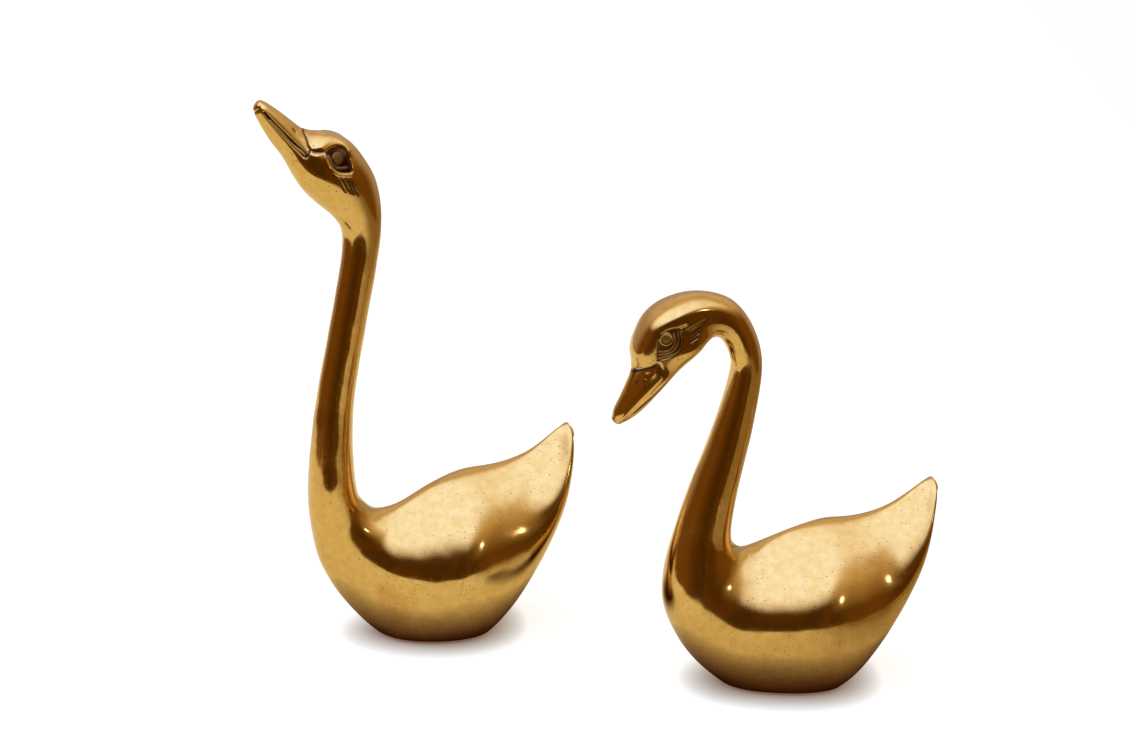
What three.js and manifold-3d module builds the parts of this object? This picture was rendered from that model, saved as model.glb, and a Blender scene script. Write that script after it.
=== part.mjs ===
// A matched pair of polished brass swans: a tall one with its head raised and a short one with its
// head bowed. Each is cast in pieces and brazed: two hollow body halves, a neck and a head, joined by
// dowels and locating pins, with a felt pad under the foot. Millimetres, +Z up, beaks towards -X.
import * as THREE from 'three';
import { mergeVertices } from 'three/addons/utils/BufferGeometryUtils.js';
import Module from 'manifold-3d';

const wasm = await Module();
wasm.setup();

// The main sizes of the pair. Lengths run along a swan, and heights run up from a piece's seat.
const chestToTail = 118.5;
const bodyHeight = 74.5;
const bodyWidth = 66;
const neckWidth = 16;
const headWidth = 26;
const tallNeckLength = 35;
const tallNeckHeight = 113.25;
const tallHeadLength = 43;
const tallHeadHeight = 60.75;
const shortNeckLength = 37;
const shortNeckHeight = 99;
const shortHeadLength = 38.5;
const shortHeadHeight = 45.25;

// How far the short swan stands from the tall one, to the right and towards the viewer.
const standsAside = 153.2;
const standsForward = 50.5;

// Walls, joints and fits shared by both swans.
const wall = 4;
const jointGap = 0.3;
const fitClearance = 0.3;
const neckDowelDiameter = 6;
const neckDowelLength = 30;
const headDowelDiameter = 5;
const headDowelLength = 20;
const shellPinDiameter = 1.6;
const shellPinLength = 6;
const pinSag = 0.4;
const padThickness = 1.5;
const padInset = 1.5;
const glueFilm = 0.3;

// How finely the lofts are stepped.
const sidesRound = 24;
const stepsPerRib = 3;
const pinSides = 16;

const brass = new THREE.MeshStandardMaterial({ color: 0xb98f45, roughness: 0.22, metalness: 1 });
const brassRod = new THREE.MeshStandardMaterial({ color: 0xc9a65c, roughness: 0.4, metalness: 1 });
const felt = new THREE.MeshStandardMaterial({ color: 0x2b2420, roughness: 0.95, metalness: 0 });

// Ribs are cross-sections, from the beak tip to the tail tip. They and the seats are drawn in
// hundredths: a piece's ribs of its own length, height and width, and its seat of the piece below.
// A rib has its back point, its front point, its width, how much narrower its back half is, and how
// flat its flanks are above the widest line.
const tallSwan = {
  name: 'tall',
  standsAt: new THREE.Vector2(0, 0),
  turn: 14,
  head: {
    length: tallHeadLength,
    height: tallHeadHeight,
    width: headWidth,
    seat: [47.1, 100],
    ribs: [
      [-96.3, 100, -100, 94.2, 17.3],
      [-87.2, 97.5, -98.8, 90.1, 30.8],
      [-72.1, 87.7, -87.2, 73.7, 50],
      [-54.7, 77, -75.6, 61.3, 65.4],
      [-33.7, 75.3, -66.3, 47.3, 84.6],
      [-12.8, 69.5, -57, 36.6, 100],
      [4.7, 53.9, -41.9, 25.1, 96.2],
      [16.3, 34.2, -26.7, 14.4, 80.8],
      [18.6, 2.1, -18.6, -2.1, 65.4],
    ],
  },
  neck: {
    length: tallNeckLength,
    height: tallNeckHeight,
    width: neckWidth,
    seat: [-36.3, 97.3],
    ribs: [
      [54.3, 73.7, 11.4, 74.6, 100],
      [30, 32.2, -17.1, 33.1, 112.5],
      [30, 0.4, -30, -0.4, 168.8, 0.1],
    ],
  },
  body: {
    length: chestToTail,
    height: bodyHeight,
    width: bodyWidth,
    saddle: [
      [-24.1, 84.6, -44.3, 69.8, 43.9, 0.1, -0.1],
      [-18.1, 77.9, -40.9, 45.6, 49.2, 0.05, -0.15],
    ],
    hollow: [
      [-10.1, 81.9, -30.8, 18.1, 65.2, 0, 0.05],
      [0.4, 91.3, -15.2, -5.4, 86.4, 0, 0.15],
      [13.5, 98, 4.2, -10.7, 100, 0.1, 0.1],
      [27, 100, 20.3, -4, 90.9, 0.15, 0.05],
      [38.8, 106.7, 37.1, 25.5, 72.7, 0.3, 0.05],
    ],
    tail: [
      [48.9, 118.8, 51.5, 69.8, 48.5, 0.65, 0.05],
      [54, 122.8, 55.7, 103.4, 27.3, 0.25],
      [54.9, 120.1, 55.3, 112.8, 12.1],
    ],
  },
};

const shortSwan = {
  name: 'short',
  standsAt: new THREE.Vector2(standsAside, -standsForward),
  turn: 9,
  head: {
    length: shortHeadLength,
    height: shortHeadHeight,
    width: headWidth,
    seat: [2, 100],
    ribs: [
      [-100, -95.6, -92.2, -100, 17.3],
      [-98.7, -86.7, -81.8, -96.7, 30.8],
      [-90.9, -71.3, -66.2, -84.5, 50],
      [-80.5, -45.9, -42.9, -60.2, 69.2],
      [-81.8, -27.1, -24.7, -48.1, 88.5],
      [-70.1, -0.6, -7.8, -33.7, 100],
      [-45.5, 13.8, 1.3, -23.8, 96.2],
      [-9.1, 20.4, 9.1, -20.4, 80.8],
    ],
  },
  neck: {
    length: shortNeckLength,
    height: shortNeckHeight,
    width: neckWidth,
    seat: [-30.2, 90.9],
    ribs: [
      [29.1, 105.8, 20.9, 88.1, 112.5],
      [53.4, 94.7, 29.1, 81.6, 106.2],
      [65.5, 77, 30.4, 73, 100],
      [56.1, 48.7, 11.5, 49.2, 106.2],
      [41.2, 21.5, -14.2, 22.5, 137.5],
      [34.5, 2.3, -34.5, -2.3, 175],
    ],
  },
  body: {
    length: chestToTail,
    height: bodyHeight,
    width: bodyWidth,
    saddle: [
      [-17.3, 84.6, -43.5, 64.4, 57.6, 0.15, -0.1],
      [-12.2, 81.2, -42.2, 43.6, 65.2, 0.25, -0.1],
    ],
    hollow: [
      [-5.5, 86.6, -32.9, 17.4, 74.2, 0.2, 0.1],
      [4.6, 92.6, -16, -5.4, 87.9, 0, 0.3],
      [15.6, 96, 4.2, -10.7, 98.5, 0.05, 0.2],
      [27.8, 96.6, 20.7, -4, 89.4, 0.2, 0.05],
      [39.2, 102.7, 37.6, 24.2, 68.2, 0.35],
    ],
    tail: [
      [49.8, 114.8, 51.9, 65.8, 50, 0.6, 0.05],
      [54.4, 118.1, 55.3, 100.7, 27.3, 0.25],
      [55.3, 116.1, 55.3, 110.1, 12.1],
    ],
  },
};

// A spot in a swan's mid-plane, drawn in hundredths of a piece that stands on a seat.
function spotOn(piece, seat, along, up) {
  const reach = new THREE.Vector3(piece.length * along, 0, piece.height * up);
  return reach.divideScalar(100).add(seat);
}

// A swan's ribs in millimetres, with X from its foot and Z from the table.
function ribsOf(swan) {
  const { head, neck, body } = swan;
  const foot = new THREE.Vector3();
  const neckSeat = spotOn(body, foot, ...neck.seat);
  const headSeat = spotOn(neck, neckSeat, ...head.seat);
  const drawn = (piece, ribs, seat) => ribs.map((rib) => {
    const [backX, backZ, frontX, frontZ, width, egg = 0, flat = 0] = rib;
    return {
      back: spotOn(piece, seat, backX, backZ),
      front: spotOn(piece, seat, frontX, frontZ),
      girth: new THREE.Vector3((piece.width / 2) * (width / 100), egg, flat),
    };
  });
  const bodyRibs = [...body.saddle, ...body.hollow, ...body.tail];
  return [
    ...drawn(head, head.ribs, headSeat),
    ...drawn(neck, neck.ribs, neckSeat),
    ...drawn(body, bodyRibs, foot),
  ];
}

// Smooth curves through the ribs. A place along them is a rib number, whole or in between.
function ribCurves(ribs) {
  const through = (key) => {
    const points = ribs.map((each) => each[key]);
    return new THREE.CatmullRomCurve3(points, false, 'catmullrom', 0.5);
  };
  const curves = { back: through('back'), front: through('front'), girth: through('girth') };
  const last = ribs.length - 1;
  return (place) => ({
    back: curves.back.getPoint(place / last),
    front: curves.front.getPoint(place / last),
    girth: curves.girth.getPoint(place / last),
  });
}

// The closed outline of one section, drawn in by inset on every side.
function sectionRing(section, inset) {
  const centre = section.back.clone().add(section.front).multiplyScalar(0.5);
  const reach = section.back.clone().sub(centre);
  reach.setLength(reach.length() - inset);
  const halfWidth = section.girth.x - inset;
  const ring = [];
  for (let side = 0; side < sidesRound; side += 1) {
    const angle = (side / sidesRound) * 2 * Math.PI;
    const lift = Math.cos(angle);
    const point = centre.clone().addScaledVector(reach, lift);
    const flank = 1 - section.girth.z * Math.max(lift, 0) ** 2;
    point.y = halfWidth * Math.sin(angle) * (1 - section.girth.y * lift) * flank;
    ring.push(point);
  }
  return ring;
}

// A closed solid through the sections between two places, with flat ends.
function loft(sectionAt, from, to, inset = 0) {
  const steps = Math.max(2, Math.round((to - from) * stepsPerRib));
  const rings = [];
  for (let step = 0; step <= steps; step += 1) {
    rings.push(sectionRing(sectionAt(from + ((to - from) * step) / steps), inset));
  }
  const points = rings.flat();
  const startCentre = points.length;
  const middle = (ring) => {
    const sum = ring.reduce((total, point) => total.add(point), new THREE.Vector3());
    return sum.divideScalar(ring.length);
  };
  points.push(middle(rings[0]), middle(rings[steps]));
  const faces = [];
  for (let side = 0; side < sidesRound; side += 1) {
    const next = (side + 1) % sidesRound;
    for (let step = 0; step < steps; step += 1) {
      const near = step * sidesRound;
      const far = near + sidesRound;
      faces.push(near + side, far + side, near + next);
      faces.push(near + next, far + side, far + next);
    }
    const end = steps * sidesRound;
    faces.push(startCentre, side, next);
    faces.push(startCentre + 1, end + next, end + side);
  }
  const geometry = new THREE.BufferGeometry().setFromPoints(points);
  geometry.setIndex(faces);
  return geometry;
}

function solidOf(geometry) {
  const bare = geometry.clone();
  bare.deleteAttribute('normal');
  bare.deleteAttribute('uv');
  const merged = mergeVertices(bare);
  return new wasm.Manifold(new wasm.Mesh({
    numProp: 3,
    vertProperties: merged.getAttribute('position').array,
    triVerts: Uint32Array.from(merged.index.array),
  }));
}

function meshOf(solid, name, material) {
  const { vertProperties, triVerts } = solid.getMesh();
  const geometry = new THREE.BufferGeometry();
  geometry.setAttribute('position', new THREE.BufferAttribute(vertProperties, 3));
  geometry.setIndex(new THREE.BufferAttribute(triVerts, 1));
  geometry.computeVertexNormals();
  const mesh = new THREE.Mesh(geometry, material);
  mesh.name = name;
  return mesh;
}

// The way across a swan, square to its mid-plane. A cylinder lies along it before it is turned.
const across = new THREE.Vector3(0, 1, 0);

// A round pin centred on a point and lying along a direction, with room around it if asked.
function pin(centre, direction, diameter, length, room = 0) {
  const radius = diameter / 2 + room;
  const geometry = new THREE.CylinderGeometry(radius, radius, length + 2 * room, pinSides);
  geometry.applyQuaternion(new THREE.Quaternion().setFromUnitVectors(across, direction));
  geometry.translate(centre.x, centre.y, centre.z);
  return solidOf(geometry);
}

// A block big enough to hold any swan, between two heights and on one or both sides of the seam.
function block(lowY, highY, lowZ, highZ) {
  const reach = 2 * overallReach;
  const geometry = new THREE.BoxGeometry(reach, highY - lowY, highZ - lowZ);
  geometry.translate(0, (lowY + highY) / 2, (lowZ + highZ) / 2);
  return solidOf(geometry);
}

const allRibs = [tallSwan, shortSwan].flatMap(ribsOf);
const overallReach = Math.max(...allRibs.map((rib) => rib.back.length()));

function buildSwan(swan) {
  const ribs = ribsOf(swan);
  const sectionAt = ribCurves(ribs);
  const centreAt = (place) => {
    const { back, front } = sectionAt(place);
    return back.add(front).multiplyScalar(0.5);
  };
  const headEnd = swan.head.ribs.length - 1;
  const neckEnd = headEnd + swan.neck.ribs.length;
  const hollowStart = neckEnd + swan.body.saddle.length;
  const hollowMiddle = hollowStart + Math.ceil(swan.body.hollow.length / 2);
  const tailStart = hollowStart + swan.body.hollow.length;
  const tailTip = ribs.length - 1;
  const pastJoint = (place) => place + jointGap / centreAt(place).distanceTo(centreAt(place + 1));

  // The dowels stand square to the joints that they cross.
  const dowelAt = (place, diameter, length, room) => {
    const { back, front } = sectionAt(place);
    const along = back.sub(front).cross(across).normalize();
    return pin(centreAt(place), along, diameter, length, room);
  };
  const headDowel = (room) => dowelAt(headEnd, headDowelDiameter, headDowelLength, room);
  const neckDowel = (room) => dowelAt(neckEnd, neckDowelDiameter, neckDowelLength, room);

  // The locating pins lie across the seam, in the wall or in the solid tail. Those in the wall sit a
  // little deeper than its middle, because it curves away towards their ends.
  const inWall = (place, edge) => {
    const section = sectionAt(place);
    const inward = centreAt(place).sub(section[edge]).normalize();
    return section[edge].addScaledVector(inward, wall / 2 + pinSag);
  };
  const pinPlaces = {
    chest_pin: inWall(hollowStart, 'front'),
    back_pin: inWall(hollowMiddle, 'back'),
    tail_pin: centreAt(tailStart + 0.5),
  };
  const shellPin = (centre, room) => pin(centre, across, shellPinDiameter, shellPinLength, room);

  const head = solidOf(loft(sectionAt, 0, headEnd)).subtract(headDowel(fitClearance));
  const neck = solidOf(loft(sectionAt, pastJoint(headEnd), neckEnd))
    .subtract(headDowel(fitClearance))
    .subtract(neckDowel(fitClearance));

  const footHeight = padThickness + glueFilm;
  const belowFoot = block(-overallReach, overallReach, -overallReach, footHeight);
  let body = solidOf(loft(sectionAt, pastJoint(neckEnd), tailTip))
    .subtract(solidOf(loft(sectionAt, hollowStart, tailStart, wall)))
    .subtract(belowFoot)
    .subtract(neckDowel(fitClearance));
  Object.values(pinPlaces).forEach((centre) => {
    body = body.subtract(shellPin(centre, fitClearance));
  });
  const leftSide = block(-overallReach, -jointGap / 2, -overallReach, overallReach);
  const rightSide = block(jointGap / 2, overallReach, -overallReach, overallReach);
  const padSlab = block(-overallReach, overallReach, 0, padThickness);
  const pad = solidOf(loft(sectionAt, hollowStart, tailStart, padInset)).intersect(padSlab);

  const group = new THREE.Group();
  const add = (solid, piece, material) => group.add(meshOf(solid, `${swan.name}_${piece}`, material));
  add(head, 'head', brass);
  add(headDowel(0), 'head_dowel', brassRod);
  add(neck, 'neck', brass);
  add(neckDowel(0), 'neck_dowel', brassRod);
  add(body.intersect(leftSide), 'left_shell', brass);
  add(body.intersect(rightSide), 'right_shell', brass);
  Object.entries(pinPlaces).forEach(([piece, centre]) => add(shellPin(centre, 0), piece, brassRod));
  add(pad, 'felt_pad', felt);
  group.rotation.z = THREE.MathUtils.degToRad(swan.turn);
  group.position.set(swan.standsAt.x, swan.standsAt.y, 0);
  return group;
}

// The pair stands on the table with the origin under the middle of its box.
const pair = new THREE.Group();
pair.add(buildSwan(tallSwan), buildSwan(shortSwan));
const box = new THREE.Box3().setFromObject(pair, true);
const middle = box.getCenter(new THREE.Vector3());
pair.position.set(-middle.x, -middle.y, -box.min.z);

export default pair;
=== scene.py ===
import math

import bmesh
import bpy
import numpy as np
from mathutils import Matrix, Vector


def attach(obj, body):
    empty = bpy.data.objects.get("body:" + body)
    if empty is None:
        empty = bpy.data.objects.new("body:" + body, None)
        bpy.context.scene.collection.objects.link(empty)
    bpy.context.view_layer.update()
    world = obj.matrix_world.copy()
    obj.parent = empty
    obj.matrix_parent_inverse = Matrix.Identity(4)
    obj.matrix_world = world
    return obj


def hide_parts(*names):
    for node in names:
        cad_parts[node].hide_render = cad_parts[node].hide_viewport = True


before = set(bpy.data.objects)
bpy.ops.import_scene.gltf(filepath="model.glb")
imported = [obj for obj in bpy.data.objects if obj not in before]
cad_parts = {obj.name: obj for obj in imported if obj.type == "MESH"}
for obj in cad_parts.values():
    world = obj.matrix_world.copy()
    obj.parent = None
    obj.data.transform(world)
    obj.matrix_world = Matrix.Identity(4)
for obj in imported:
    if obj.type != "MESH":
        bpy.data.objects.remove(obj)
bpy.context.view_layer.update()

scene = bpy.context.scene
mm = 0.001  # sizes in the dictionaries are millimetres, Blender works in metres
print("frame loaded:", len(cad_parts), "nodes")


# one shader node with its settings and links: a socket links, anything else is a value
def addNode(tree, kind, inputs=None, **settings):
    node = tree.nodes.new("ShaderNode" + kind)
    for name, value in settings.items():
        setattr(node, name, value)
    for socket, value in (inputs or {}).items():
        if isinstance(value, bpy.types.NodeSocket):
            tree.links.new(value, node.inputs[socket])
        else:
            node.inputs[socket].default_value = value
    return node


# sRGB hex to the linear colour that a shader takes
def colour(hexText):
    parts = [int(hexText[start:start + 2], 16) / 255 for start in (1, 3, 5)]
    linear = [p / 12.92 if p <= 0.04045 else ((p + 0.055) / 1.055) ** 2.4 for p in parts]
    return (*linear, 1.0)


# a new material with an empty node tree
def startMaterial(name):
    material = bpy.data.materials.new(name)
    material.use_nodes = True
    material.node_tree.nodes.clear()
    return material, material.node_tree


# Camera: a long lens, level with the room and looking down a little
cameraSettings = {
    "aim": (-14.23, 60.07, 105.0),  # the spot between the two swans
    "distance": 1150.0,
    "elevation": 20.0,
    "lens": 80.77,
    "sensor": 36.0,
    "clip": (10.0, 50000.0),
}


def makeCamera(settings):
    data = bpy.data.cameras.new("photoCamera")
    data.lens = settings["lens"]
    data.sensor_width = settings["sensor"]
    data.sensor_fit = "HORIZONTAL"
    data.clip_start, data.clip_end = (reach * mm for reach in settings["clip"])
    camera = bpy.data.objects.new("photoCamera", data)
    scene.collection.objects.link(camera)
    tilt = math.radians(settings["elevation"])
    back = Vector((0.0, -math.cos(tilt), math.sin(tilt)))
    camera.location = (Vector(settings["aim"]) + back * settings["distance"]) * mm
    camera.rotation_mode = "QUATERNION"
    camera.rotation_quaternion = (-back).to_track_quat("-Z", "Y")
    scene.camera = camera


makeCamera(cameraSettings)
scene.view_settings.view_transform = "Standard"
print("camera set")


# Room: daylight from high on the left, a pale ceiling, a white backdrop and a dim brown room behind
# the camera. Only camera rays see plain white
roomSettings = {
    "white": (1.0, 1.0, 1.0, 1.0),
    "daylight": (1.46, 1.72, 2.9, 1.0),
    "ceiling": (1.3, 1.35, 1.85, 1.0),
    "glow": (0.8, 0.63, 0.44, 1.0),  # the walls below the light
    "dimBrown": (0.125, 0.045, 0.003, 1.0),
    "dimOlive": (0.08, 0.036, 0.001, 1.0),
    "sideWall": (0.2, 0.085, 0.012, 1.0),
    "rightWall": (0.42, 0.27, 0.11, 1.0),
    "backdropLow": (0.52, 0.41, 0.34, 1.0),
    "backdropHigh": (0.98, 0.85, 0.76, 1.0),
    "daylightFrom": (-0.6, -0.55, 0.58),
    "stripeStretch": (3.5, 3.5, 0.5),  # the dim walls have upright stripes
    "sunnyLower": 0.03,  # the daylight reaches lower than the ceiling's light
    "rightHigher": 0.14,  # the light stays higher on the right
    "behindHigher": 0.22,  # and over the backdrop
    "edges": {  # where each change starts and is full, mostly as the sine of an angle
        "sunny": (0.2, 0.75),
        "striped": (0.42, 0.58),
        "sideways": (0.45, 0.95),
        "onRightWall": (0.2, 0.7),
        "upRightWall": (0.12, 0.42),
        "upBackdrop": (0.1, 0.7),
        "onBackdrop": (0.1, 0.8),
        "glowing": (0.36, 0.62),
        "higherRight": (0.1, 0.6),
        "higherBehind": (0.0, 0.5),
        "lit": (0.42, 0.74),
    },
}


def makeRoom(settings):
    world = bpy.data.worlds.new("studioRoom")
    scene.world = world
    world.use_nodes = True
    tree = world.node_tree
    tree.nodes.clear()
    direction = addNode(tree, "TexCoord").outputs["Generated"]
    axes = addNode(tree, "SeparateXYZ", {0: direction})
    across, away, up = (axes.outputs[axis] for axis in "XYZ")
    eitherSide = addNode(tree, "Math", {0: across}, operation="ABSOLUTE")
    toLeft = addNode(tree, "VectorMath", {0: direction, 1: settings["daylightFrom"]},
                     operation="DOT_PRODUCT")
    upright = addNode(tree, "Mapping", {"Vector": direction, "Scale": settings["stripeStretch"]})
    stripes = addNode(tree, "TexNoise", {"Vector": upright.outputs[0], "Scale": 1.0, "Detail": 1.0})
    changesWith = {
        "sunny": toLeft.outputs["Value"], "striped": stripes.outputs["Fac"],
        "sideways": eitherSide.outputs[0], "onRightWall": across, "upRightWall": up,
        "upBackdrop": up, "onBackdrop": away, "glowing": up, "higherRight": across,
        "higherBehind": away,
    }
    share = {}
    for name, value in changesWith.items():
        low, high = settings["edges"][name]
        share[name] = addNode(tree, "MapRange",
                              {"Value": value, "From Min": low, "From Max": high},
                              interpolation_type="SMOOTHSTEP").outputs[0]

    # the height of a direction, less what the light's edge is raised by there
    onSunny = addNode(tree, "Math", {0: share["sunny"], 1: settings["sunnyLower"], 2: up},
                      operation="MULTIPLY_ADD")
    onRight = addNode(tree, "Math", {0: share["higherRight"], 1: -settings["rightHigher"],
                                     2: onSunny.outputs[0]}, operation="MULTIPLY_ADD")
    unlit = addNode(tree, "Math", {0: share["sunny"], 1: -settings["behindHigher"],
                                   2: settings["behindHigher"]}, operation="MULTIPLY_ADD")
    behind = addNode(tree, "Math", {0: share["higherBehind"], 1: unlit.outputs[0]},
                     operation="MULTIPLY")
    reached = addNode(tree, "Math", {0: onRight.outputs[0], 1: behind.outputs[0]},
                      operation="SUBTRACT")
    low, high = settings["edges"]["lit"]
    lit = addNode(tree, "MapRange", {"Value": reached.outputs[0], "From Min": low,
                                     "From Max": high}, interpolation_type="SMOOTHSTEP")

    rightWall = addNode(tree, "Math", {0: share["onRightWall"], 1: share["upRightWall"]},
                        operation="MULTIPLY")
    backdrop = addNode(tree, "Mix", {0: share["upBackdrop"], 6: settings["backdropLow"],
                                     7: settings["backdropHigh"]}, data_type="RGBA")
    overhead = addNode(tree, "Mix", {0: share["sunny"], 6: settings["ceiling"],
                                     7: settings["daylight"]}, data_type="RGBA")
    room = settings["dimBrown"]
    layers = (
        (share["striped"], settings["dimOlive"]),
        (share["sideways"], settings["sideWall"]),
        (rightWall.outputs[0], settings["rightWall"]),
        (share["onBackdrop"], backdrop.outputs[2]),
        (share["glowing"], settings["glow"]),
        (lit.outputs[0], overhead.outputs[2]),
    )
    for cover, layer in layers:
        room = addNode(tree, "Mix", {0: cover, 6: room, 7: layer}, data_type="RGBA").outputs[2]
    reflected = addNode(tree, "Background", {"Color": room, "Strength": 1.0})
    plain = addNode(tree, "Background", {"Color": settings["white"], "Strength": 1.0})
    path = addNode(tree, "LightPath")
    seen = addNode(tree, "MixShader", {0: path.outputs["Is Camera Ray"], 1: reflected.outputs[0],
                                       2: plain.outputs[0]})
    addNode(tree, "OutputWorld", {"Surface": seen.outputs[0]})


makeRoom(roomSettings)

# Table: matt white paper, with a painted shadow round each foot where the camera sees it. The brass
# shows a copy of it warm with painted bounce light, in painted shade to the right and under the
# bodies
tableSettings = {
    "left": -570.0, "right": 430.0,
    "front": -320.0,  # the paper ends a little in front of the swans
    "back": 2200.0,
    "tiles": 24,
    "paper": "#999e89",  # balances the cool daylight
    "lift": "#eae6e3",  # brings the paper to white without more light on the brass
    # painted shadow: the lift drops to this where the paper lies near a body
    "paintedShadowLift": "#6f5038",
    # painted light: the paper the brass shows is warm, as if lit by the brass's own bounce light
    "paintedWarmLightPaper": "#f9ebb3",
    # painted shade: the paper the brass shows turns to this towards the right
    "paintedShadeRight": "#997c45",
    "paintedShadeFrom": -40.0, "paintedShadeFull": 320.0,
    # painted shade: the brass shows the paper this dark right under a body
    "paintedShadeUnderBody": "#592100",
    "shadeReach": 13.0,  # how far the painted shadow round a body spreads
    "shadeDepth": 1.5,
    "mirrorReach": 38.0,  # the painted shade under a body, as the brass above shows it
    "mirrorDepth": 3.0,
    "shadeSamples": 8,
}


def makeTable(settings):
    bm = bmesh.new()
    bmesh.ops.create_grid(bm, x_segments=settings["tiles"], y_segments=settings["tiles"], size=0.5)
    width = settings["right"] - settings["left"]
    depth = settings["back"] - settings["front"]
    bmesh.ops.scale(bm, vec=(width * mm, depth * mm, 1.0), verts=bm.verts)
    middle = Vector((settings["left"] + width / 2, settings["front"] + depth / 2, 0.0)) * mm
    bmesh.ops.translate(bm, vec=middle, verts=bm.verts)
    mesh = bpy.data.meshes.new("whiteTable")
    bm.to_mesh(mesh)
    bm.free()
    table = bpy.data.objects.new("whiteTable", mesh)
    scene.collection.objects.link(table)
    material, tree = startMaterial("whitePaper")
    # how open each spot of the paper is, which sets the painted shadow and painted shade near the
    # bodies
    openShare = {}
    for name in ("shade", "mirror"):
        around = addNode(tree, "AmbientOcclusion", {"Distance": settings[name + "Reach"] * mm},
                         samples=settings["shadeSamples"])
        openShare[name] = addNode(tree, "Math",
                                  {0: around.outputs["AO"], 1: settings[name + "Depth"]},
                                  operation="POWER").outputs[0]
    spot = addNode(tree, "SeparateXYZ", {0: addNode(tree, "TexCoord").outputs["Object"]})
    # painted shade towards the right, in the copy of the paper the brass shows
    paintedShadeShare = addNode(tree, "MapRange",
                   {"Value": spot.outputs["X"], "From Min": settings["paintedShadeFrom"] * mm,
                    "From Max": settings["paintedShadeFull"] * mm}, interpolation_type="SMOOTHSTEP")
    paper = addNode(tree, "Mix", {0: paintedShadeShare.outputs[0], 6: colour(settings["paintedWarmLightPaper"]),
                                  7: colour(settings["paintedShadeRight"])}, data_type="RGBA")
    # painted shade under the bodies, in the copy of the paper the brass shows
    shaded = addNode(tree, "Mix", {0: openShare["mirror"], 6: colour(settings["paintedShadeUnderBody"]),
                                   7: paper.outputs[2]}, data_type="RGBA")
    # painted shadow round each foot: the lift darkens where the paper lies close under a body
    liftColour = addNode(tree, "Mix", {0: openShare["shade"], 6: colour(settings["paintedShadowLift"]),
                                       7: colour(settings["lift"])}, data_type="RGBA")
    sheet = addNode(tree, "BsdfDiffuse", {"Color": colour(settings["paper"])})
    lift = addNode(tree, "Emission", {"Color": liftColour.outputs[2], "Strength": 1.0})
    lifted = addNode(tree, "AddShader", {0: sheet.outputs[0], 1: lift.outputs[0]})
    # the copy of the paper that only the brass shows, with its painted light and shade
    warm = addNode(tree, "BsdfDiffuse", {"Color": shaded.outputs[2]})
    path = addNode(tree, "LightPath")
    shown = addNode(tree, "MixShader",
                    {0: path.outputs["Is Camera Ray"], 1: warm.outputs[0], 2: lifted.outputs[0]})
    addNode(tree, "OutputMaterial", {"Surface": shown.outputs[0]})
    mesh.materials.append(material)


makeTable(tableSettings)

lampSettings = {
    "azimuth": 41.0,  # to the right of the camera, seen from the swans
    "elevation": 22.0,
    "distance": 2500.0,
    "radius": 60.0,
    "power": 0.9,
}


def makeLamp(settings):
    data = bpy.data.lights.new("roomLamp", "AREA")
    data.shape = "DISK"
    data.size = 2 * settings["radius"] * mm
    data.energy = settings["power"]
    lamp = bpy.data.objects.new("roomLamp", data)
    scene.collection.objects.link(lamp)
    turn = math.radians(settings["azimuth"])
    tilt = math.radians(settings["elevation"])
    away = Vector((math.sin(turn) * math.cos(tilt), -math.cos(turn) * math.cos(tilt),
                   math.sin(tilt)))
    lamp.location = away * settings["distance"] * mm
    lamp.rotation_mode = "QUATERNION"
    lamp.rotation_quaternion = (-away).to_track_quat("-Z", "Y")


makeLamp(lampSettings)
print("room, table and lamp made")


# Brass, cast and polished by hand, with years of handling: a warm mirror with a soft haze,
# browner where it has tarnished, with small casting pits, hairlines and dirt in the cut lines
brassSettings = {
    "bright": "#d9b46c",
    "deep": "#cda557",
    "deepEdge": (0.35, 0.7),  # of the mottle's noise
    "tarnish": "#b27c3c",
    "tarnishEdge": (0.58, 0.74),  # of the cloud's noise
    "tarnishMost": 0.5,
    "dirt": "#3a0f04",
    "roughness": (0.08, 0.16),
    "roughEdge": (0.3, 0.75),  # of the mottle's noise
    "roughDirt": 0.25,
    "cloud": (34.0, 3.0, 0.55),  # noises: size, detail and roughness
    "mottle": (3.5, 4.0, 0.65),
    "hairs": (0.5, 2.0, 0.5),  # real hairlines are finer, these are as coarse as they need to show
    "hairTurn": (0.4, 0.5, 0.9),
    "hairStretch": (1.0, 0.06, 1.0),
    "hairDepth": 0.006,
    "ripple": (14.0, 2.0, 0.5),
    "rippleDepth": 0.12,
    "pitSpacing": 1.7,
    "pitSize": 0.3,
    "pitFloor": 0.4,  # of its size
    "pitDepth": 0.1,
    "pitEdge": (0.44, 0.62),  # of the cloud's noise
    "pitShare": (0.15, 0.9),  # of the spots that have a pit
}


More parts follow.
